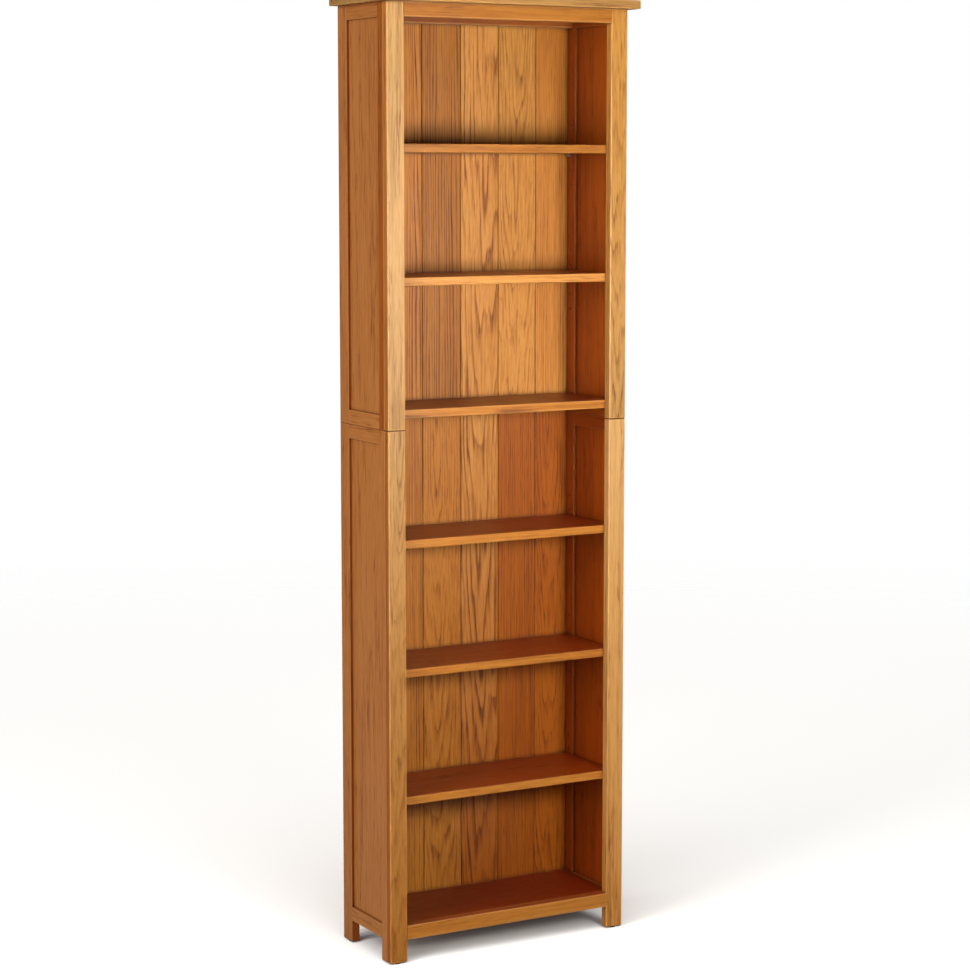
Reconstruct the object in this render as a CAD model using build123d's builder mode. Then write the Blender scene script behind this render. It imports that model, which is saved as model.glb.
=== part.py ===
from build123d import *
import os

os.makedirs("parts", exist_ok=True)

# A tall, narrow bookcase in solid oak: an upper unit standing on a lower one, under one top board.
# Each unit has a face frame, two frame-and-panel sides and a back of tongued and grooved boards.
# Millimetres. +X is right, +Y is towards the wall, +Z is up, and the front faces -Y.
# The origin is on the floor, under the middle of the top board.

# Driving dimensions
total_height = 2000.0
body_width = 570.0
body_depth = 220.0
top_overhang = 20.0  # of the top board, past the front and past each side
board = 18.0  # thickness of the frames, the shelves and the top
face_stile_width = 40.0
side_stile_depth = 22.0  # front stile of a side frame, behind the face frame
rear_stile_depth = 40.0
rail_height = 30.0
leg_height = 50.0  # floor to the underside of the lowest rails
unit_joint = 1120.0  # level at which the upper unit stands on the lower one
floor_top = 80.0  # top of the lowest board
shelf_pitch = 270.0  # from the top of one tier to the top of the next
front_round = 2.5  # rounding of the front edges of the face stiles
eased = 0.8  # rounding of the other long edges
face_end_ease = 1.2  # chamfer round the ends of the face stiles, a line between the two units
side_end_ease = 0.6  # the same for the stiles of the side frames

# Side panels, held in grooves
panel = 6.5
panel_recess_outside = 5.5
groove_depth = 6.5
groove_slack = 0.2
panel_tongue = 6.0  # how far a panel or a rail's stub tenon reaches into a groove

# Back boards
back_board = 8.0
back_pitch = 93.0
back_count = 6
rabbet = 10.0  # how far the outer boards reach into the rear stiles
board_gap = 0.4
v_joint = 1.5
tongue_length = 4.0
tongue_thickness = 2.4
tongue_slack = 0.4

# Face frame tenons, each a clearance fit in its mortise
tenon_length = 12.0
tenon_thickness = 8.0
tenon_height = 20.0
tenon_slack = 0.3

# Shelf pins, in rows of holes at the usual pitch for furniture
pin_radius = 2.5
pin_hole_radius = 2.56
pin_hole_depth = 10.0
pin_in_hole = 9.0
pin_proud = 8.0
pin_chamfer = 0.5
pin_row_pitch = 32.0
pin_row_steps = 2  # spare holes above and below the one in use
front_pin_inset = 8.0  # hole centre behind the face frame
rear_pin_inset = 18.0  # hole centre behind the front edge of the rear stile
rest_gap = 0.3  # between the round pin and the flat underside of the shelf

# Shelves
shelf_end_gap = 1.5
shelf_depth_gap = 1.0
shelf_ease = 2.0

# Countersunk screws that hold the back boards to the fixed boards and to the rear top rail
screw_radius = 1.6
screw_head_radius = 3.1
screw_sunk = 0.1
screw_length = 24.0
screw_spread = 25.0  # from the middle of a back board
screw_hole_radius = 1.75
countersink_radius = 3.3
countersink_angle = 90.0
drill_overrun = 1.0  # how far the drill runs past the far face of a back board
pilot_radius = 1.65
pilot_depth = 16.5
recess_length = 3.4
recess_width = 0.7
recess_depth = 0.9

# Glides nailed under the legs, and dowels between the two units
glide_height = 3.0
glide_radius = 7.0
glide_edge = 0.8
nail_radius = 1.1
nail_length = 12.0
nail_slack = 0.1
dowel_radius = 4.0
dowel_length = 30.0
dowel_slack = 0.05
dowel_end_gap = 0.5
dowel_chamfer = 1.0

# Faces and levels worked out from the dimensions above
half_width = body_width / 2
inner_half = half_width - board
opening_half = half_width - face_stile_width
front_y = top_overhang / 2 - body_depth / 2
rear_y = front_y + body_depth
frame_back_y = front_y + board
side_stile_back_y = frame_back_y + side_stile_depth
rear_stile_front_y = rear_y - rear_stile_depth
back_front_y = rear_y - back_board
top_underside = total_height - board
top_rail_low = top_underside - rail_height
floor_underside = floor_top - board
upper_floor_top = floor_top + 4 * shelf_pitch
panel_middle_x = half_width - panel_recess_outside - panel / 2
front_pin_y = frame_back_y + front_pin_inset
rear_pin_y = rear_stile_front_y + rear_pin_inset
face_middle_y = front_y + board / 2
side_middle_x = half_width - board / 2
rear_leg_y = rear_y - rear_stile_depth / 2
front_dowel_x = half_width - face_stile_width / 2
dowel_hole_radius = dowel_radius + dowel_slack
nail_hole_radius = nail_radius + nail_slack
through_depth = back_board + drill_overrun
half_dowel_hole = dowel_length / 2 + dowel_end_gap
dowel_hole_amounts = {"lower": -half_dowel_hole, "upper": half_dowel_hole}
lower_screw_level = floor_top - board / 2
upper_screw_level = upper_floor_top - board / 2
top_screw_level = top_underside - rail_height / 2
screw_levels = {"lower": [lower_screw_level], "upper": [upper_screw_level, top_screw_level]}
rear_face = Plane(origin=(0, rear_y, 0), x_dir=(-1, 0, 0), z_dir=(0, 1, 0))

# Tops of the loose shelves, by the unit that holds them
shelf_tops = {
    "lower": [floor_top + step * shelf_pitch for step in (1, 2, 3)],
    "upper": [floor_top + step * shelf_pitch for step in (5, 6)],
}

# For each unit: its lowest and highest level, and the lowest level of its bottom side rails
units = {
    "lower": (glide_height, unit_joint, leg_height),
    "upper": (unit_joint, top_underside, unit_joint),
}
sides = {"left": -1, "right": 1}
board_numbers = range(1, back_count + 1)


def pin_level(shelf_top):
    # Centre of the pins under a shelf
    return shelf_top - board - rest_gap - pin_radius


def pin_hole_places(unit, y):
    # Every hole of one row: a few steps each side of the pin in use, for each shelf
    steps = range(-pin_row_steps, pin_row_steps + 1)
    return [(y, pin_level(top) + step * pin_row_pitch) for top in shelf_tops[unit] for step in steps]


def write_piece(piece, node):
    # Labels a finished piece and writes its file
    piece.label = node
    export_step(piece, f"parts/{node}.step")


def pin_holes(unit, side, y):
    # Outline of the blind holes in the inner face of a side frame
    with BuildSketch(Plane.YZ.offset(side * inner_half)) as holes:
        with Locations(*pin_hole_places(unit, y)):
            Circle(pin_hole_radius)
    return holes.sketch


def panel_groove(side, y, low):
    # Outline of the groove for the side panel and for the rails' stub tenons
    with BuildSketch(Plane.XY.offset(low)) as groove:
        with Locations((side * panel_middle_x, y)):
            Rectangle(panel + groove_slack, groove_depth)
    return groove.sketch


def round_hole(level, x, y, radius):
    # Outline of an upright hole for a dowel or a nail
    with BuildSketch(Plane.XY.offset(level)) as hole:
        with Locations((x, y)):
            Circle(radius)
    return hole.sketch


def make_face_stile(unit, hand):
    # Upright of the face frame, with the mortise for its one rail
    side = sides[hand]
    low, high, rail_low = units[unit]
    mortise_z = (leg_height if unit == "lower" else top_rail_low) + rail_height / 2
    middle_x = side * (half_width - face_stile_width / 2)
    with BuildPart() as face_stile:
        with BuildSketch(Plane.XY.offset(low)) as section:
            with Locations((middle_x, face_middle_y)):
                Rectangle(face_stile_width, board)
            fillet(section.vertices().group_by(Axis.Y)[0], front_round)
        extrude(amount=high - low)
        chamfer(face_stile.faces().sort_by(Axis.Z)[-1].edges(), face_end_ease)
        chamfer(face_stile.faces().sort_by(Axis.Z)[0].edges(), face_end_ease)
        with BuildSketch(Plane.YZ.offset(side * opening_half)):
            with Locations((face_middle_y, mortise_z)):
                Rectangle(tenon_thickness + tenon_slack, tenon_height + tenon_slack)
        extrude(amount=side * (tenon_length + tenon_slack), mode=Mode.SUBTRACT)
        dowel_hole = round_hole(unit_joint, side * front_dowel_x, face_middle_y, dowel_hole_radius)
        extrude(dowel_hole, amount=dowel_hole_amounts[unit], mode=Mode.SUBTRACT)
        if unit == "lower":
            nail_hole = round_hole(low, side * front_dowel_x, face_middle_y, nail_hole_radius)
            extrude(nail_hole, amount=nail_length + nail_slack, mode=Mode.SUBTRACT)
    write_piece(face_stile.part, f"{unit}_{hand}_face_stile")


def make_side_front_stile(unit, hand):
    # Front upright of a side frame, behind the face frame
    side = sides[hand]
    low, high, rail_low = units[unit]
    with BuildPart() as front_stile:
        with BuildSketch(Plane.XY.offset(low)) as section:
            with Locations((side * side_middle_x, frame_back_y + side_stile_depth / 2)):
                Rectangle(board, side_stile_depth)
            fillet(section.vertices(), eased)
        extrude(amount=high - low)
        chamfer(front_stile.faces().sort_by(Axis.Z)[-1].edges(), side_end_ease)
        chamfer(front_stile.faces().sort_by(Axis.Z)[0].edges(), side_end_ease)
        groove = panel_groove(side, side_stile_back_y - groove_depth / 2, rail_low)
        extrude(groove, amount=high - rail_low, mode=Mode.SUBTRACT)
        extrude(pin_holes(unit, side, front_pin_y), amount=side * pin_hole_depth, mode=Mode.SUBTRACT)
    write_piece(front_stile.part, f"{unit}_{hand}_side_front_stile")


def make_side_rear_stile(unit, hand):
    # Rear upright of a side frame, which is also the rear leg, rabbeted for the back boards
    side = sides[hand]
    low, high, rail_low = units[unit]
    rabbet_low = floor_underside if unit == "lower" else low
    with BuildPart() as rear_stile:
        with BuildSketch(Plane.XY.offset(low)) as section:
            with Locations((side * side_middle_x, rear_y - rear_stile_depth / 2)):
                Rectangle(board, rear_stile_depth)
            fillet(section.vertices(), eased)
        extrude(amount=high - low)
        chamfer(rear_stile.faces().sort_by(Axis.Z)[-1].edges(), side_end_ease)
        chamfer(rear_stile.faces().sort_by(Axis.Z)[0].edges(), side_end_ease)
        groove = panel_groove(side, rear_stile_front_y + groove_depth / 2, rail_low)
        extrude(groove, amount=high - rail_low, mode=Mode.SUBTRACT)
        with BuildSketch(Plane.XY.offset(rabbet_low)):
            with Locations((side * (inner_half + rabbet / 2), rear_y - back_board / 2)):
                Rectangle(rabbet, back_board)
        extrude(amount=high - rabbet_low, mode=Mode.SUBTRACT)
        extrude(pin_holes(unit, side, rear_pin_y), amount=side * pin_hole_depth, mode=Mode.SUBTRACT)
        dowel_hole = round_hole(unit_joint, side * side_middle_x, rear_leg_y, dowel_hole_radius)
        extrude(dowel_hole, amount=dowel_hole_amounts[unit], mode=Mode.SUBTRACT)
        if unit == "lower":
            nail_hole = round_hole(low, side * side_middle_x, rear_leg_y, nail_hole_radius)
            extrude(nail_hole, amount=nail_length + nail_slack, mode=Mode.SUBTRACT)
    write_piece(rear_stile.part, f"{unit}_{hand}_side_rear_stile")


def make_side_rail(unit, hand, place, low):
    # Cross piece of a side frame: a stub tenon at each end and a groove along the edge by the panel
    side = sides[hand]
    length = rear_stile_front_y - side_stile_back_y
    middle_y = (rear_stile_front_y + side_stile_back_y) / 2
    groove_z = low + groove_depth / 2 if place == "top" else low + rail_height - groove_depth / 2
    with BuildPart() as rail:
        with BuildSketch(Plane.XZ.offset(-side_stile_back_y)) as section:
            with Locations((side * side_middle_x, low + rail_height / 2)):
                Rectangle(board, rail_height)
            fillet(section.vertices(), eased)
        extrude(amount=-length)
        with BuildSketch(Plane.XZ.offset(-side_stile_back_y + panel_tongue)):
            with Locations((side * panel_middle_x, low + rail_height / 2)):
                Rectangle(panel, rail_height - 2 * eased)
        extrude(amount=-(length + 2 * panel_tongue))
        with BuildSketch(Plane.XZ.offset(-side_stile_back_y + panel_tongue)):
            with Locations((side * panel_middle_x, groove_z)):
                Rectangle(panel + groove_slack, groove_depth)
        extrude(amount=-(length + 2 * panel_tongue), mode=Mode.SUBTRACT)
    write_piece(rail.part, f"{unit}_{hand}_side_{place}_rail")


def make_side_panel(unit, hand, bottom_rail_low, top_rail_level):
    # Thin panel that floats in the grooves of its side frame
    side = sides[hand]
    low = bottom_rail_low + rail_height - panel_tongue
    high = top_rail_level + panel_tongue
    depth = rear_stile_front_y - side_stile_back_y + 2 * panel_tongue
    with BuildPart() as side_panel:
        with BuildSketch(Plane.XY.offset(low)):
            with Locations((side * panel_middle_x, (rear_stile_front_y + side_stile_back_y) / 2)):
                Rectangle(panel, depth)
        extrude(amount=high - low)
    write_piece(side_panel.part, f"{unit}_{hand}_side_panel")


def make_face_rail(node, low):
    # Cross piece of a face frame, tenoned into both stiles
    with BuildPart() as face_rail:
        with BuildSketch(Plane.YZ.offset(-opening_half)) as section:
            with Locations((face_middle_y, low + rail_height / 2)):
                Rectangle(board, rail_height)
            fillet(section.vertices(), eased)
        extrude(amount=2 * opening_half)
        with BuildSketch(Plane.YZ.offset(-opening_half - tenon_length)):
            with Locations((face_middle_y, low + rail_height / 2)):
                Rectangle(tenon_thickness, tenon_height)
        extrude(amount=2 * (opening_half + tenon_length))
    write_piece(face_rail.part, node)


def board_edges(number):
    # Left and right edges of a back board, its tongue left out
    left = (number - 1 - back_count / 2) * back_pitch + board_gap / 2
    right = (number - back_count / 2) * back_pitch - board_gap / 2
    if number == 1:
        left = -(inner_half + rabbet) + board_gap
    if number == back_count:
        right = inner_half + rabbet - board_gap
    return left, right


def screw_xs(number):
    # Where the two screws of a row stand across a back board
    middle = sum(board_edges(number)) / 2
    return [middle - screw_spread, middle + screw_spread]


def screw_places(number, levels, depth):
    # Places on the rear face of one back board, or this deep below it
    return [rear_face.location * Pos(-x, z, -depth) for x in screw_xs(number) for z in levels]


def pilot_holes(level):
    # Outline of the holes that one row of screws bites into
    with BuildSketch(Plane.XZ.offset(-back_front_y)) as holes:
        with Locations(*[(x, level) for number in board_numbers for x in screw_xs(number)]):
            Circle(pilot_radius)
    return holes.sketch


def make_flat_board(node, half_length, y_low, y_high, top, rounding, screw_level=None):
    # Board lying flat, with its four long edges eased
    with BuildPart() as flat_board:
        with BuildSketch(Plane.YZ.offset(-half_length)) as section:
            with Locations(((y_low + y_high) / 2, top - board / 2)):
                Rectangle(y_high - y_low, board)
            fillet(section.vertices(), rounding)
        extrude(amount=2 * half_length)
        if screw_level:
            extrude(pilot_holes(screw_level), amount=pilot_depth, mode=Mode.SUBTRACT)
    write_piece(flat_board.part, node)


def make_back_board(unit, number):
    # Back board with V edges; each has a groove on its left edge and a tongue on its right edge
    low = floor_underside if unit == "lower" else unit_joint
    high = units[unit][1]
    left, right = board_edges(number)
    middle_y = rear_y - back_board / 2
    with BuildPart() as back_piece:
        with BuildSketch(Plane.XY.offset(low)) as section:
            with Locations(((left + right) / 2, middle_y)):
                Rectangle(right - left, back_board)
            chamfer(section.vertices(), v_joint)
            if number < back_count:
                with Locations((right + tongue_length / 2 - v_joint, middle_y)):
                    Rectangle(tongue_length + 2 * v_joint, tongue_thickness)
            if number > 1:
                groove_reach = tongue_length + tongue_slack
                with Locations((left + groove_reach / 2, middle_y)):
                    Rectangle(groove_reach, tongue_thickness + tongue_slack, mode=Mode.SUBTRACT)
        extrude(amount=high - low)
        with Locations(*screw_places(number, screw_levels[unit], 0)):
            CounterSinkHole(screw_hole_radius, countersink_radius, through_depth, countersink_angle)
    write_piece(back_piece.part, f"{unit}_back_board_{number}")


def make_pin_pair(node, hand, shelf_top):
    # Front and rear pins of one end of a shelf, each part way into its hole
    side = sides[hand]
    places = [(y, pin_level(shelf_top)) for y in (front_pin_y, rear_pin_y)]
    with BuildPart() as pins:
        with BuildSketch(Plane.YZ.offset(side * (inner_half + pin_in_hole))):
            with Locations(*places):
                Circle(pin_radius)
        extrude(amount=-side * (pin_in_hole + pin_proud))
        chamfer(pins.edges().filter_by(GeomType.CIRCLE), pin_chamfer)
    write_piece(pins.part, node)


# Side frames and face frames of both units
for unit, (low, high, rail_low) in units.items():
    for hand in sides:
        make_face_stile(unit, hand)
        make_side_front_stile(unit, hand)
        make_side_rear_stile(unit, hand)
        make_side_rail(unit, hand, "bottom", rail_low)
        make_side_rail(unit, hand, "top", high - rail_height)
        make_side_panel(unit, hand, rail_low, high - rail_height)
    for number in board_numbers:
        make_back_board(unit, number)

make_face_rail("lower_face_bottom_rail", leg_height)
make_face_rail("upper_face_top_rail", top_rail_low)

# Rail along the top of the back, in front of the back boards
with BuildPart() as rear_top_rail:
    with BuildSketch(Plane.YZ.offset(-inner_half)) as rear_rail_section:
        with Locations((back_front_y - board / 2, top_underside - rail_height / 2)):
            Rectangle(board, rail_height)
        fillet(rear_rail_section.vertices(), eased)
    extrude(amount=2 * inner_half)
    extrude(pilot_holes(top_screw_level), amount=pilot_depth, mode=Mode.SUBTRACT)
write_piece(rear_top_rail.part, "upper_rear_top_rail")

# Fixed boards: the bottom of each unit
fixed_boards = {
    "lower_bottom_board": (floor_top, eased, lower_screw_level),
    "upper_bottom_board": (upper_floor_top, shelf_ease, upper_screw_level),
}
for node, (top, rounding, screw_level) in fixed_boards.items():
    make_flat_board(node, inner_half, frame_back_y, back_front_y, top, rounding, screw_level)

# Top board, eased all round
with BuildPart() as top_board:
    with BuildSketch(Plane.XY.offset(top_underside)):
        Rectangle(body_width + 2 * top_overhang, body_depth + top_overhang)
    extrude(amount=board)
    fillet(top_board.edges(), shelf_ease)
write_piece(top_board.part, "top_board")

# Loose shelves, from the lowest up, each with a pair of pins at each end
shelf_half = inner_half - shelf_end_gap
shelf_front = frame_back_y + shelf_depth_gap
shelf_rear = back_front_y - shelf_depth_gap
for number, shelf_top in enumerate(shelf_tops["lower"] + shelf_tops["upper"], start=1):
    make_flat_board(f"shelf_{number}", shelf_half, shelf_front, shelf_rear, shelf_top, shelf_ease)
    for hand in sides:
        make_pin_pair(f"shelf_{number}_{hand}_pins", hand, shelf_top)

# Nail-on glides under the four legs
glide_places = [(side * front_dowel_x, face_middle_y) for side in (-1, 1)]
glide_places += [(side * side_middle_x, rear_leg_y) for side in (-1, 1)]
with BuildPart() as glides:
    with BuildSketch():
        with Locations(*glide_places):
            Circle(glide_radius)
    extrude(amount=glide_height)
    fillet(glides.faces().filter_by(Axis.Z).group_by(Axis.Z)[0].edges(), glide_edge)
    with BuildSketch(Plane.XY.offset(glide_height)):
        with Locations(*glide_places):
            Circle(nail_radius)
    extrude(amount=nail_length)
write_piece(glides.part, "foot_glides")

# Dowels that hold the upper unit in place on the lower one
with BuildPart() as dowels:
    with BuildSketch(Plane.XY.offset(unit_joint - dowel_length / 2)):
        with Locations(*glide_places):
            Circle(dowel_radius)
    extrude(amount=dowel_length)
    chamfer(dowels.edges().filter_by(GeomType.CIRCLE), dowel_chamfer)
write_piece(dowels.part, "unit_dowels")

# Screws through the back boards: a countersunk head with a cross recess, and a plain shank
all_levels = screw_levels["lower"] + screw_levels["upper"]
all_places = [place for number in board_numbers for place in screw_places(number, all_levels, screw_sunk)]
top_aligned = (Align.CENTER, Align.CENTER, Align.MAX)
with BuildPart() as screws:
    with Locations(*all_places):
        Cone(screw_radius, screw_head_radius, screw_head_radius - screw_radius, align=top_aligned)
        Cylinder(screw_radius, screw_length, align=top_aligned)
        Box(recess_length, recess_width, recess_depth, align=top_aligned, mode=Mode.SUBTRACT)
        Box(recess_width, recess_length, recess_depth, align=top_aligned, mode=Mode.SUBTRACT)
write_piece(screws.part, "back_screws")
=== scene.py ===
import math

import bpy
from mathutils import Euler, Matrix, Vector


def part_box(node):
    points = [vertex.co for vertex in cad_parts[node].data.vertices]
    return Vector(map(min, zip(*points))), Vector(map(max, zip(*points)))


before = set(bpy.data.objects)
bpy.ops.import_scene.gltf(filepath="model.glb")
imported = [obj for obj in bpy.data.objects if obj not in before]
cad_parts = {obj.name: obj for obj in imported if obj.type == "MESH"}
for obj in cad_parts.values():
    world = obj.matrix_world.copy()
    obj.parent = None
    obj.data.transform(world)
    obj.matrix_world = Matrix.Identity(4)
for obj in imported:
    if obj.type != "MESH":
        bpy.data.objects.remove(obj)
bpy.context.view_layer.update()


def linear(hexColour):
    # sRGB hex, such as "b87333", to the linear colour that a shader takes
    channels = [int(hexColour[i:i + 2], 16) / 255 for i in (0, 2, 4)]
    return [c / 12.92 if c <= 0.04045 else ((c + 0.055) / 1.055) ** 2.4 for c in channels] + [1.0]


def addNode(tree, kind, inputs=None, output=0, **settings):
    # Adds a node and gives back one of its outputs; each input, by name or number, takes a value or another
    # node's output, and settings are the node's own properties
    node = tree.nodes.new(kind)
    for key, value in settings.items():
        setattr(node, key, value)
    for key, value in (inputs or {}).items():
        if isinstance(value, bpy.types.NodeSocket):
            tree.links.new(value, node.inputs[key])
        else:
            node.inputs[key].default_value = value
    return node.outputs[output] if node.outputs else node


def newMaterial(name):
    # An empty material; returns it, its node tree and the socket that takes its shader
    material = bpy.data.materials.new(name)
    material.use_nodes = True
    tree = material.node_tree
    tree.nodes.clear()
    return material, tree, addNode(tree, "ShaderNodeOutputMaterial").inputs["Surface"]


def setRamp(node, stops):
    # Gives a colour ramp its (place, hex colour) stops, in order
    band = node.color_ramp
    while len(band.elements) < len(stops):
        band.elements.new(1.0)
    for element, (place, hexColour) in zip(band.elements, stops):
        element.position = place
        element.color = linear(hexColour)


# Lacquered solid oak, stained honey: broad porous rings, short dark pores, pale fibre streaks, and a
# thin satin lacquer that rounds the highlights. Lengths in metres.
oak = {
    "ringWidth": 0.0075,  # from ring to ring where a flat-sawn face cuts them
    "earlyShare": 0.45,  # share of a ring that is porous early wood
    "waver": 0.006,  # how far the rings wander
    "waverAcross": 0.05,
    "yearsAcross": 0.022,
    "waverAlong": 0.45,
    "fibreAcross": 0.005,  # real fibre streaks are about 1 mm wide, so these are five times that
    "fibreAlong": 0.25,
    "poreAcross": 0.0024,  # real pores are 0.3 mm wide, too fine to show, so these are eight times that
    "poreAlong": 0.045,
    "toneAcross": 0.12,  # slow drift of colour over a board
    "toneAlong": 0.6,
    "edgeWearAndHighlight": 0.004,  # lacquer rubbed pale, with a painted highlight along the rounded edge, this far from an edge
    "cornerShadeReach": 0.012,  # painted shade reaches this far out of an inside corner
    "jointShadeReach": 0.0016,  # painted shade of the narrow gap, dark this far from the joint between the two units
    "roughness": 0.4,
    "specular": 0.35,
    "coat": 0.12,
    "coatRoughness": 0.28,
    "lacquerIor": 1.5,
    "bump": 0.0005,
    "bumpStrength": 0.35,
    "fibreTone": (-0.25, 0.4),  # how far fibres lighten and darken the wood
    "driftTone": (-0.1, 0.25),
    "poreCrowd": (0.2, 0.7),  # how strong pores show in late and in early wood
    "poreColour": "98601c",
    "wornAndHighlitColour": "dca560",
    "cornerShadeColour": "6b3c1c",
    "jointShadeColour": "966228",
}
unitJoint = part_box("lower_left_face_stile")[1].z  # height at which the upper unit stands on the lower one
noiseLow, noiseHigh = 0.3, 0.7  # nearly all of a noise's values lie between these

# How a board was sawn: where the tree's middle lay behind the face, and how much it leaned and wandered
cuts = {
    "cathedral": {"depth": 0.045, "side": 0.006, "lean": 0.05, "wild": 0.7, "rings": 1.1, "contrast": 1.2},
    "halfCathedral": {"depth": 0.04, "side": 0.027, "lean": 0.05, "wild": 0.7, "rings": 1.2, "contrast": 1},
    "flame": {"depth": 0.03, "side": -0.006, "lean": 0.06, "wild": 1.8, "rings": 0.8, "contrast": 0.6},
    "rift": {"depth": 0.09, "side": 0.10, "lean": 0.006, "wild": 0.8, "rings": 0.65, "contrast": 1.1},
    "quarter": {"depth": 0.02, "side": 0.16, "lean": 0.003, "wild": 0.4, "rings": 0.7, "contrast": 0.5},
    "calm": {"depth": 0.14, "side": 0.03, "lean": 0.012, "wild": 0.9, "rings": 2.0, "contrast": 0.3},
}

# Stain tones, from late wood to early wood
tones = {
    "pale": {"light": "c3985f", "middle": "b48a51", "dark": "8d652e"},
    "wheat": {"light": "ac8148", "middle": "9c723a", "dark": "7b531f"},
    "straw": {"light": "c68b44", "middle": "b87b35", "dark": "885015"},
    "golden": {"light": "bc863a", "middle": "b07a34", "dark": "8a5819"},
    "toffee": {"light": "a66a21", "middle": "995c17", "dark": "6f3d09"},
    "honey": {"light": "b57528", "middle": "a8661b", "dark": "7b430b"},
    "amber": {"light": "a2580d", "middle": "944b06", "dark": "703503"},
    "brown": {"light": "b6743a", "middle": "ae6b30", "dark": "8a501e"},
    # Dark enough to stand for the shade under the top board: painted shade
    "russet": {"light": "84440a", "middle": "743606", "dark": "582402"},
}


def boardAxes(low, high):
    # Unit vectors along a board's width, thickness and length, from its box
    size = high - low
    order = sorted(range(3), key=lambda axis: size[axis])
    length, thickness = Vector(), Vector()
    length[order[2]] = 1
    thickness[order[0]] = 1
    return thickness.cross(length), thickness, length


def oakMaterial(name, node, cut, foot, head, seed, shadedSide, shadeColour, edgePaling):
    # One board's own oak, laid out from that board's box. Its tone goes from foot to head along it, and a
    # face that looks out along the given side is darkened with painted shade.
    # In a Map Range node, inputs 1 to 4 are From Min, From Max, To Min and To Max
    material, tree, surface = newMaterial(name)
    low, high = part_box(node)
    centre, half = (low + high) / 2, (high - low) / 2
    width, thickness, length = boardAxes(low, high)
    turned = Matrix((width, thickness, length)).transposed()
    leaned = turned @ Euler((cut["lean"], cut["lean"] * 0.3 * math.sin(seed), 0)).to_matrix()
    pith = centre + thickness * cut["depth"] + width * (cut["side"] + 0.008 * math.sin(3 * seed))
    place = addNode(tree, "ShaderNodeTexCoord", output="Object")
    # Board coordinates: X across, Y into the board, Z along it, from the tree's middle
    point = addNode(tree, "ShaderNodeMapping",
                    {"Vector": place, "Location": pith, "Rotation": leaned.to_euler()},
                    vector_type="TEXTURE")

    def streaks(across, along, detail):
        # Noise whose grains are this wide and this long, different on every board
        shift = (7.3 * seed, 3.1 * seed, 5.7 * seed)
        spread = addNode(tree, "ShaderNodeVectorMath",
                         {0: point, 1: (1 / across, 1 / across, 1 / along), 2: shift},
                         operation="MULTIPLY_ADD")
        return addNode(tree, "ShaderNodeTexNoise",
                       {"Vector": spread, "Scale": 1.0, "Detail": detail, "Roughness": 0.55})

    # Rings: distance from the tree's middle, wandering a little, counted in ring widths
    ringWidth = oak["ringWidth"] * cut["rings"]
    waver = streaks(oak["waverAcross"], oak["waverAlong"], 2.0)
    years = streaks(oak["yearsAcross"], oak["toneAlong"], 1.0)
    flat = addNode(tree, "ShaderNodeVectorMath", {0: point, 1: (1, 1, 0)}, operation="MULTIPLY")
    distance = addNode(tree, "ShaderNodeVectorMath", {0: flat}, "Value", operation="LENGTH")
    distance = addNode(tree, "ShaderNodeMath", {0: waver, 1: 2 * oak["waver"] * cut["wild"], 2: distance},
                       operation="MULTIPLY_ADD")
    # Good and poor years: rings differ in width and in how dark they are
    distance = addNode(tree, "ShaderNodeMath", {0: years, 1: 2.5 * ringWidth, 2: distance},
                       operation="MULTIPLY_ADD")
    rings = addNode(tree, "ShaderNodeMath", {0: distance, 1: ringWidth}, operation="DIVIDE")
    phase = addNode(tree, "ShaderNodeMath", {0: rings}, operation="FRACT")
    # Each ring starts dark and porous, and pales into dense late wood
    start = addNode(tree, "ShaderNodeMapRange", {0: phase, 1: 0.0, 2: 0.1, 3: 0.0, 4: 1.0})
    fade = addNode(tree, "ShaderNodeMapRange",
                   {0: phase, 1: 0.1, 2: 0.1 + oak["earlyShare"], 3: 1.0, 4: 0.0})
    vigour = addNode(tree, "ShaderNodeMapRange", {0: years, 1: 0.35, 2: 0.65, 3: 1.15, 4: 0.35})
    early = addNode(tree, "ShaderNodeMath", {0: start, 1: fade}, operation="MULTIPLY")
    early = addNode(tree, "ShaderNodeMath", {0: early, 1: vigour}, operation="MULTIPLY")
    # Fine fibres and a slow drift of tone over the rings
    fibre = streaks(oak["fibreAcross"], oak["fibreAlong"], 3.0)
    fibreTone = addNode(tree, "ShaderNodeMapRange",
                        {0: fibre, 1: noiseLow, 2: noiseHigh,
                         3: oak["fibreTone"][0], 4: oak["fibreTone"][1]})
    tint = streaks(oak["toneAcross"], oak["toneAlong"], 1.0)
    drift = addNode(tree, "ShaderNodeMapRange",
                    {0: tint, 1: noiseLow, 2: noiseHigh,
                     3: oak["driftTone"][0], 4: oak["driftTone"][1]})
    grain = addNode(tree, "ShaderNodeMath", {0: early, 1: cut["contrast"], 2: fibreTone},
                    operation="MULTIPLY_ADD")
    grain = addNode(tree, "ShaderNodeMath", {0: grain, 1: drift}, operation="ADD")
    colour = addNode(tree, "ShaderNodeValToRGB", {"Fac": grain})
    setRamp(colour.node, [(0.0, foot["light"]), (0.4, foot["middle"]), (1.0, foot["dark"])])
    if head != foot:
        headColour = addNode(tree, "ShaderNodeValToRGB", {"Fac": grain})
        setRamp(headColour.node, [(0.0, head["light"]), (0.4, head["middle"]), (1.0, head["dark"])])
        along = addNode(tree, "ShaderNodeVectorMath", {0: place, 1: length}, "Value",
                        operation="DOT_PRODUCT")
        along = addNode(tree, "ShaderNodeMapRange", {0: along, 1: low.dot(length), 2: high.dot(length)})
        colour = addNode(tree, "ShaderNodeMix", {0: along, 6: colour, 7: headColour}, 2, data_type="RGBA")
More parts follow.
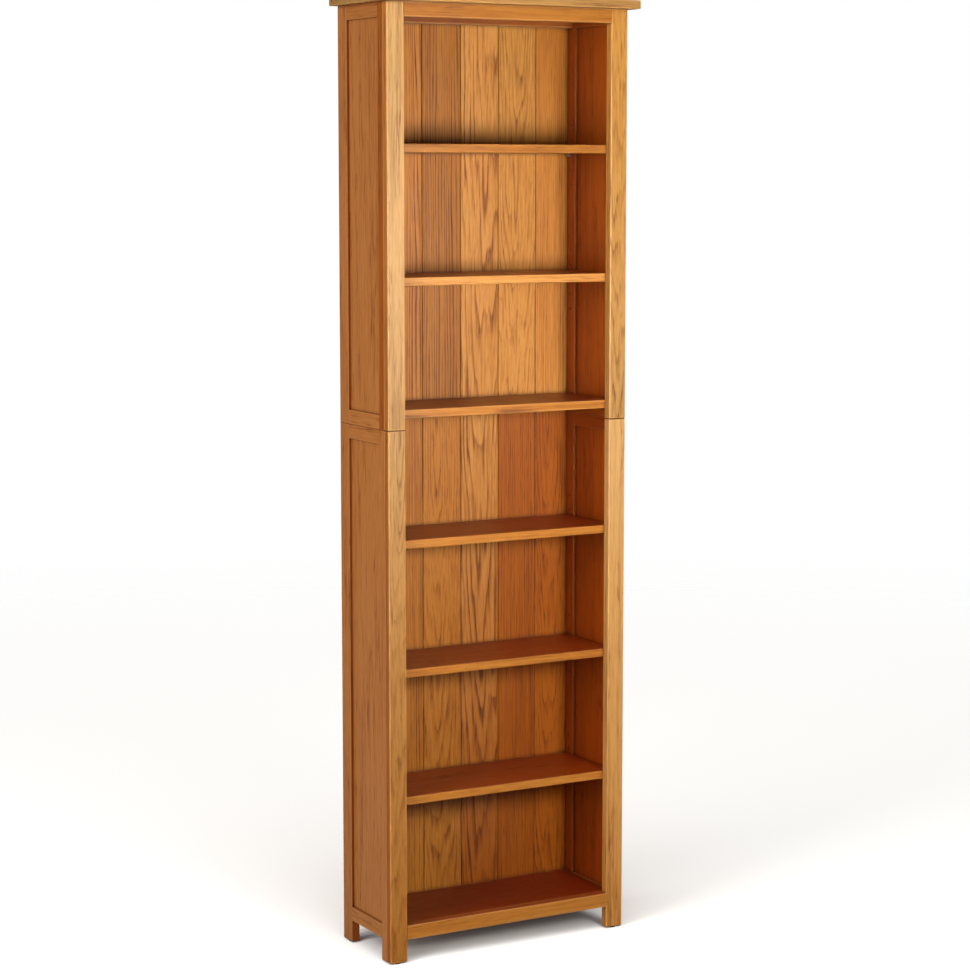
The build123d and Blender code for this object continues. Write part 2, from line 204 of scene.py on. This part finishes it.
    # Painted shade: the face that looks out along the given side is darkened, as if it lay in shade
    facing = addNode(tree, "ShaderNodeTexCoord", output="Normal")
    facing = addNode(tree, "ShaderNodeVectorMath", {0: facing, 1: shadedSide}, "Value",
                     operation="DOT_PRODUCT")
    facing = addNode(tree, "ShaderNodeMapRange", {0: facing, 1: 0.5, 2: 0.9, 3: 0.0, 4: 1.0})
    colour = addNode(tree, "ShaderNodeMix", {0: facing, 6: colour, 7: linear(shadeColour)}, 2,
                     data_type="RGBA", blend_type="MULTIPLY")
    # Pores: short dark dashes, crowded in the early wood, sparse in the late
    dashes = streaks(oak["poreAcross"], oak["poreAlong"], 1.0)
    dashes = addNode(tree, "ShaderNodeMapRange", {0: dashes, 1: 0.5, 2: 0.66, 3: 0.0, 4: 1.0})
    crowd = addNode(tree, "ShaderNodeMapRange", {0: early, 3: oak["poreCrowd"][0], 4: oak["poreCrowd"][1]})
    pore = addNode(tree, "ShaderNodeMath", {0: dashes, 1: crowd}, operation="MULTIPLY")
    colour = addNode(tree, "ShaderNodeMix", {0: pore, 6: colour, 7: linear(oak["poreColour"])}, 2,
                     data_type="RGBA", blend_type="MULTIPLY")
    # Edges rubbed pale, with a painted highlight along them: how far the nearest edge of the board's box
    # is, from the two smallest of the distances to its faces
    inward = addNode(tree, "ShaderNodeVectorMath", {0: place, 1: centre}, operation="SUBTRACT")
    inward = addNode(tree, "ShaderNodeVectorMath", {0: inward}, operation="ABSOLUTE")
    inward = addNode(tree, "ShaderNodeVectorMath", {0: half, 1: inward}, operation="SUBTRACT")
    gaps = addNode(tree, "ShaderNodeSeparateXYZ", {0: inward}).node.outputs
    total = addNode(tree, "ShaderNodeMath", {0: gaps[0], 1: gaps[1]}, operation="ADD")
    total = addNode(tree, "ShaderNodeMath", {0: total, 1: gaps[2]}, operation="ADD")
    farthest = addNode(tree, "ShaderNodeMath", {0: gaps[0], 1: gaps[1]}, operation="MAXIMUM")
    farthest = addNode(tree, "ShaderNodeMath", {0: farthest, 1: gaps[2]}, operation="MAXIMUM")
    toEdge = addNode(tree, "ShaderNodeMath", {0: total, 1: farthest}, operation="SUBTRACT")
    nearEdge = addNode(tree, "ShaderNodeMapRange", {0: toEdge, 1: 0.0, 2: oak["edgeWearAndHighlight"], 3: 1.0, 4: 0.0})
    broken = addNode(tree, "ShaderNodeMapRange", {0: fibre, 1: 0.35, 2: 0.65, 3: 0.3 * edgePaling, 4: edgePaling})
    paleEdge = addNode(tree, "ShaderNodeMath", {0: nearEdge, 1: broken}, operation="MULTIPLY")
    colour = addNode(tree, "ShaderNodeMix", {0: paleEdge, 6: colour, 7: linear(oak["wornAndHighlitColour"])}, 2,
                     data_type="RGBA")
    # Painted shade in the narrow gap at the joint between the units: a thin dark line across the face
    # stiles, fainter round the sides
    offJoint = min(abs(low.z - unitJoint), abs(high.z - unitJoint))
    if ("stile" in node or "_side_" in node) and offJoint < 0.001:
        level = addNode(tree, "ShaderNodeSeparateXYZ", {0: place}, "Z")
        level = addNode(tree, "ShaderNodeMath", {0: level, 1: unitJoint}, operation="SUBTRACT")
        level = addNode(tree, "ShaderNodeMath", {0: level}, operation="ABSOLUTE")
        darkest = 0.35 if "_side_" in node else 1.0
        jointShade = addNode(tree, "ShaderNodeMapRange",
                       {0: level, 1: 0.6 * oak["jointShadeReach"], 2: oak["jointShadeReach"], 3: darkest, 4: 0.0})
        colour = addNode(tree, "ShaderNodeMix", {0: jointShade, 6: colour, 7: linear(oak["jointShadeColour"])}, 2,
                         data_type="RGBA", blend_type="MULTIPLY")
    # Painted shade: colour darkened in inside corners, where shade falls
    cornerShade = addNode(tree, "ShaderNodeAmbientOcclusion", {"Distance": oak["cornerShadeReach"]}, "AO",
                     samples=6)
    cornerShade = addNode(tree, "ShaderNodeMapRange", {0: cornerShade, 1: 0.35, 2: 0.85, 3: 0.75, 4: 0.0})
    colour = addNode(tree, "ShaderNodeMix", {0: cornerShade, 6: colour, 7: linear(oak["cornerShadeColour"])}, 2,
                     data_type="RGBA", blend_type="MULTIPLY")
    # Fibres stand proud and pores lie open under the lacquer
    relief = addNode(tree, "ShaderNodeMath", {0: fibre, 1: pore}, operation="SUBTRACT")
    bump = addNode(tree, "ShaderNodeBump",
                   {"Height": relief, "Strength": oak["bumpStrength"], "Distance": oak["bump"]})
    gloss = addNode(tree, "ShaderNodeMapRange", {0: pore, 3: oak["roughness"], 4: oak["roughness"] + 0.25})
    shader = addNode(tree, "ShaderNodeBsdfPrincipled",
                     {"Base Color": colour, "Roughness": gloss, "Normal": bump, "IOR": oak["lacquerIor"],
                      "Specular IOR Level": oak["specular"], "Coat Weight": oak["coat"],
                      "Coat Roughness": oak["coatRoughness"], "Coat IOR": oak["lacquerIor"]})
    tree.links.new(shader, surface)
    return material


def mottledMaterial(name, look):
    # A turned, moulded or plated finish: fine mottle in its tone, gloss and surface
    material, tree, surface = newMaterial(name)
    place = addNode(tree, "ShaderNodeTexCoord", output="Object")
    mottle = addNode(tree, "ShaderNodeTexNoise",
                     {"Vector": place, "Scale": 1 / look["grain"], "Detail": 3.0})
    colour = addNode(tree, "ShaderNodeValToRGB", {"Fac": mottle})
    setRamp(colour.node, [(0.3, look["dark"]), (0.7, look["light"])])
    gloss = addNode(tree, "ShaderNodeMapRange",
                    {0: mottle, 3: look["roughness"] - 0.06, 4: look["roughness"] + 0.06})
    bump = addNode(tree, "ShaderNodeBump", {"Height": mottle, "Strength": 0.2, "Distance": look["relief"]})
    shader = addNode(tree, "ShaderNodeBsdfPrincipled",
                     {"Base Color": colour, "Roughness": gloss, "Normal": bump,
                      "Metallic": look["metallic"]})
    tree.links.new(shader, surface)
    return material


# Moulded polythene is black with a soft even sheen, turned beech is pale, matt and faintly flecked, and zinc
# plating shines cool grey with a slight cloudiness
smallLooks = {
    "foot_glides": {"dark": "141312", "light": "23201e", "grain": 0.001, "roughness": 0.5, "metallic": 0.0,
                    "relief": 0.0001},
    "unit_dowels": {"dark": "c9a878", "light": "dcbf92", "grain": 0.004, "roughness": 0.6, "metallic": 0.0,
                    "relief": 0.0002},
    "steel": {"dark": "a9abad", "light": "c4c6c8", "grain": 0.003, "roughness": 0.3, "metallic": 1.0,
              "relief": 0.00005},
}
mouldedPolythene = mottledMaterial("mouldedPolythene", smallLooks["foot_glides"])
turnedBeech = mottledMaterial("turnedBeech", smallLooks["unit_dowels"])
zincPlatedSteel = mottledMaterial("zincPlatedSteel", smallLooks["steel"])

# Each board's cut, its stain and, where that changes towards the head of the board, its stain there, by the
# start of its node's name; the longest start that fits is used
boards = {
    "top_board": ("calm", "wheat"),
    "upper_left_face_stile": ("calm", "wheat", "pale"),
    "upper_right_face_stile": ("flame", "wheat", "golden"),
    "upper_face_top_rail": ("calm", "toffee"),
    "lower_left_face_stile": ("flame", "toffee", "wheat"),
    "lower_right_face_stile": ("calm", "straw", "pale"),
    "lower_face_bottom_rail": ("calm", "honey"),
    # The rear top rail is stained dark as painted shade, under the top board
    "upper_rear_top_rail": ("calm", "russet"),
    "upper_left_side": ("calm", "brown"),
    "upper_left_side_front_stile": ("calm", "amber"),
    "lower_left_side": ("calm", "brown"),
    "upper_right_side": ("calm", "golden"),
    "lower_right_side": ("calm", "toffee", "golden"),
    "upper_back_board_1": ("rift", "honey"),
    "upper_back_board_2": ("rift", "honey"),
    "upper_back_board_3": ("rift", "toffee"),
    "upper_back_board_4": ("halfCathedral", "straw"),
    "upper_back_board_5": ("flame", "straw", "golden"),
    "upper_back_board_6": ("quarter", "straw", "toffee"),
    "lower_back_board_1": ("rift", "honey"),
    "lower_back_board_2": ("quarter", "honey"),
    "lower_back_board_3": ("flame", "honey"),
    "lower_back_board_4": ("cathedral", "amber", "straw"),
    "lower_back_board_5": ("quarter", "amber"),
    "lower_back_board_6": ("flame", "amber"),
    "lower_bottom_board": ("rift", "amber"),
    "upper_bottom_board": ("rift", "honey"),
    "shelf": ("calm", "honey"),
    "shelf_4": ("calm", "straw"),
    "shelf_5": ("calm", "toffee"),
}

# How strongly a board's edges are rubbed pale and given a painted highlight: handled ones most, and the
# back's never
edgeRubAndHighlight = {"frame": 0.6, "side": 0.12, "shelf": 0.15, "back": 0.0}
# Painted shade, multiplied into the colour of faces that lie in shade: the shelves' tops, the side frames'
# inner faces and their front edges by the panels, and the face stiles' outer faces
paintedShades = {"top": "ce822c", "leftInside": "e3a719", "rightInside": "dc9119", "stileSide": "fcd29f"}


def finishOf(node, seed):
    # The material of a CAD node
    if node == "foot_glides":
        return mouldedPolythene
    if node == "unit_dowels":
        return turnedBeech
    if node.endswith("_pins") or node == "back_screws":
        return zincPlatedSteel
    start = max((key for key in boards if node.startswith(key)), key=len)
    # A board with one tone has that tone at its head too
    cut, foot, head = (*boards[start], boards[start][-1])[:3]
    low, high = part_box(node)
    outward = math.copysign(1, low.x + high.x)
    shadedSide, shadeColour = (0, 0, 0), "ffffff"
    # Painted shade on the tops of shelves, bottom boards and the bottom rail
    if "shelf" in node or "bottom_board" in node or "face_bottom" in node:
        shadedSide, shadeColour = (0, 0, 1), paintedShades["top"]
    # Painted shade on the side frames' inner faces and their front edges by the panels
    elif "_side_" in node:
        shadedSide = (-outward, -0.8, 0)
        shadeColour = paintedShades["leftInside" if "_left_" in node else "rightInside"]
    # Painted shade on the face stiles' outer faces
    elif "face_stile" in node:
        shadedSide, shadeColour = (outward, 0, 0), paintedShades["stileSide"]
    edgePaling = edgeRubAndHighlight["frame"]
    if "_side_" in node:
        edgePaling = edgeRubAndHighlight["side"]
    elif "shelf" in node:
        edgePaling = edgeRubAndHighlight["shelf"]
    elif "back_board" in node:
        edgePaling = edgeRubAndHighlight["back"]
    return oakMaterial("lacqueredOak_" + node, node, cuts[cut], tones[foot], tones[head], seed,
                       shadedSide, shadeColour, edgePaling)


for number, (node, thing) in enumerate(sorted(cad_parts.items())):
    finish = finishOf(node, 1.0 + 0.61 * number)
    thing.data.materials.clear()
    thing.data.materials.append(finish)
print("finishes assigned")

# Floor: a pale painted sheet that fades into the white round it, so that no horizon shows
floorLook = {"reach": 8.0, "seen": "f4f3f1", "bounced": "6c6a67", "roughness": 0.8, "fadeFrom": 2.0,
             "fadeTo": 6.0}
reach = floorLook["reach"]
floorMesh = bpy.data.meshes.new("floor")
floorMesh.from_pydata([(-reach, -reach, 0), (reach, -reach, 0), (reach, reach, 0), (-reach, reach, 0)], [],
                      [(0, 1, 2, 3)])
floor = bpy.data.objects.new("floor", floorMesh)
bpy.context.collection.objects.link(floor)
floorMaterial, floorTree, floorSurface = newMaterial("paintedFloor")
floorPlace = addNode(floorTree, "ShaderNodeTexCoord", output="Object")
away = addNode(floorTree, "ShaderNodeVectorMath", {0: floorPlace}, "Value", operation="LENGTH")
fade = addNode(floorTree, "ShaderNodeMapRange", {0: away, 1: floorLook["fadeFrom"], 2: floorLook["fadeTo"]},
               interpolation_type="SMOOTHSTEP")
# The floor throws less light back on the bookcase than it shows, as under a black studio ceiling
direct = addNode(floorTree, "ShaderNodeLightPath", output="Is Camera Ray")
floorColour = addNode(floorTree, "ShaderNodeMix",
                      {0: direct, 6: linear(floorLook["bounced"]), 7: linear(floorLook["seen"])}, 2,
                      data_type="RGBA")
paint = addNode(floorTree, "ShaderNodeBsdfPrincipled",
                {"Base Color": floorColour, "Roughness": floorLook["roughness"]})
clear = addNode(floorTree, "ShaderNodeBsdfTransparent")
floorTree.links.new(addNode(floorTree, "ShaderNodeMixShader", {0: fade, 1: paint, 2: clear}), floorSurface)
floorMesh.materials.append(floorMaterial)

# World: white to look at, but a weaker light on the bookcase than the lamps
studio = {"white": 1.0, "light": 0.12}
world = bpy.data.worlds.new("studio")
bpy.context.scene.world = world
world.use_nodes = True
worldTree = world.node_tree
background = worldTree.nodes["Background"]
background.inputs["Color"].default_value = (1.0, 1.0, 1.0, 1.0)
seen = addNode(worldTree, "ShaderNodeLightPath", output="Is Camera Ray")
strength = addNode(worldTree, "ShaderNodeMapRange", {0: seen, 3: studio["light"], 4: studio["white"]})
worldTree.links.new(strength, background.inputs["Strength"])


def hangLamp(name, lamp, place, target):
    # Puts a lamp at a place, turned to a target
    thing = bpy.data.objects.new(name, lamp)
    thing.location = place
    thing.rotation_euler = (Vector(target) - Vector(place)).to_track_quat("-Z", "Y").to_euler()
    bpy.context.collection.objects.link(thing)
    return thing


softBoxes = {
    "keyLamp": {"place": (0.05, -2.35, 1.33), "target": (0, 0, 1.6), "width": 0.6, "height": 0.6,
                "watts": 18.5, "spread": 130, "colour": "fff8ee"},
    "fillLamp": {"place": (-2.6, -1.0, 1.5), "target": (0, 0, 1.1), "width": 1.2, "height": 2.4,
                 "watts": 70, "spread": 180, "colour": "fffaf4"},
    "backLamp": {"place": (1.2, 2.4, 2.9), "target": (0, 0.1, 1.3), "width": 1.6, "height": 2.0,
                 "watts": 100, "spread": 180, "colour": "fffaf4"},
    "rightLamp": {"place": (2.5, 1.0, 2.4), "target": (0.3, 0, 1.2), "width": 1.2, "height": 2.0,
                  "watts": 75, "spread": 180, "colour": "fffaf4"},
}
bookcaseOnly = bpy.data.collections.new("bookcaseOnly")
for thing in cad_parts.values():
    bookcaseOnly.objects.link(thing)
for name, look in softBoxes.items():
    lamp = bpy.data.lights.new(name, "AREA")
    lamp.shape = "RECTANGLE"
    lamp.size = look["width"]
    lamp.size_y = look["height"]
    lamp.energy = look["watts"]
    lamp.spread = math.radians(look["spread"])
    lamp.color = linear(look["colour"])[:3]
    box = hangLamp(name, lamp, look["place"], look["target"])
    if look["place"][1] > 0:
        # Lamps behind the front light the bookcase alone, and not the floor seen from the front, and
        # they make no glare on the top board
        box.light_linking.receiver_collection = bookcaseOnly
        box.visible_glossy = False

# A wide soft sun that lights the floor alone, so that it stays evenly pale
floorSun = {"place": (-1.2, -2.1, 3.4), "strength": 3.7, "spread": 90}
sun = bpy.data.lights.new("floorSun", "SUN")
sun.energy = floorSun["strength"]
sun.angle = math.radians(floorSun["spread"])
sunThing = hangLamp("floorSun", sun, floorSun["place"], (0, 0, 0))
floorOnly = bpy.data.collections.new("floorOnly")
floorOnly.objects.link(floor)
sunThing.light_linking.receiver_collection = floorOnly
print("lamps set")

# Camera: at eye height, off the left front corner, tilted down a little
view = {"place": (-2.624, -4.644, 1.642), "yaw": 29.44, "pitch": 7.05, "lens": 93.8, "sensor": 36.0}
cameraData = bpy.data.cameras.new("camera")
camera = bpy.data.objects.new("camera", cameraData)
bpy.context.collection.objects.link(camera)
bpy.context.scene.camera = camera
cameraData.lens = view["lens"]
cameraData.sensor_width = view["sensor"]
camera.location = view["place"]
camera.rotation_euler = (math.radians(90 - view["pitch"]), 0, -math.radians(view["yaw"]))
bpy.context.scene.view_settings.view_transform = "Standard"
print("camera set")
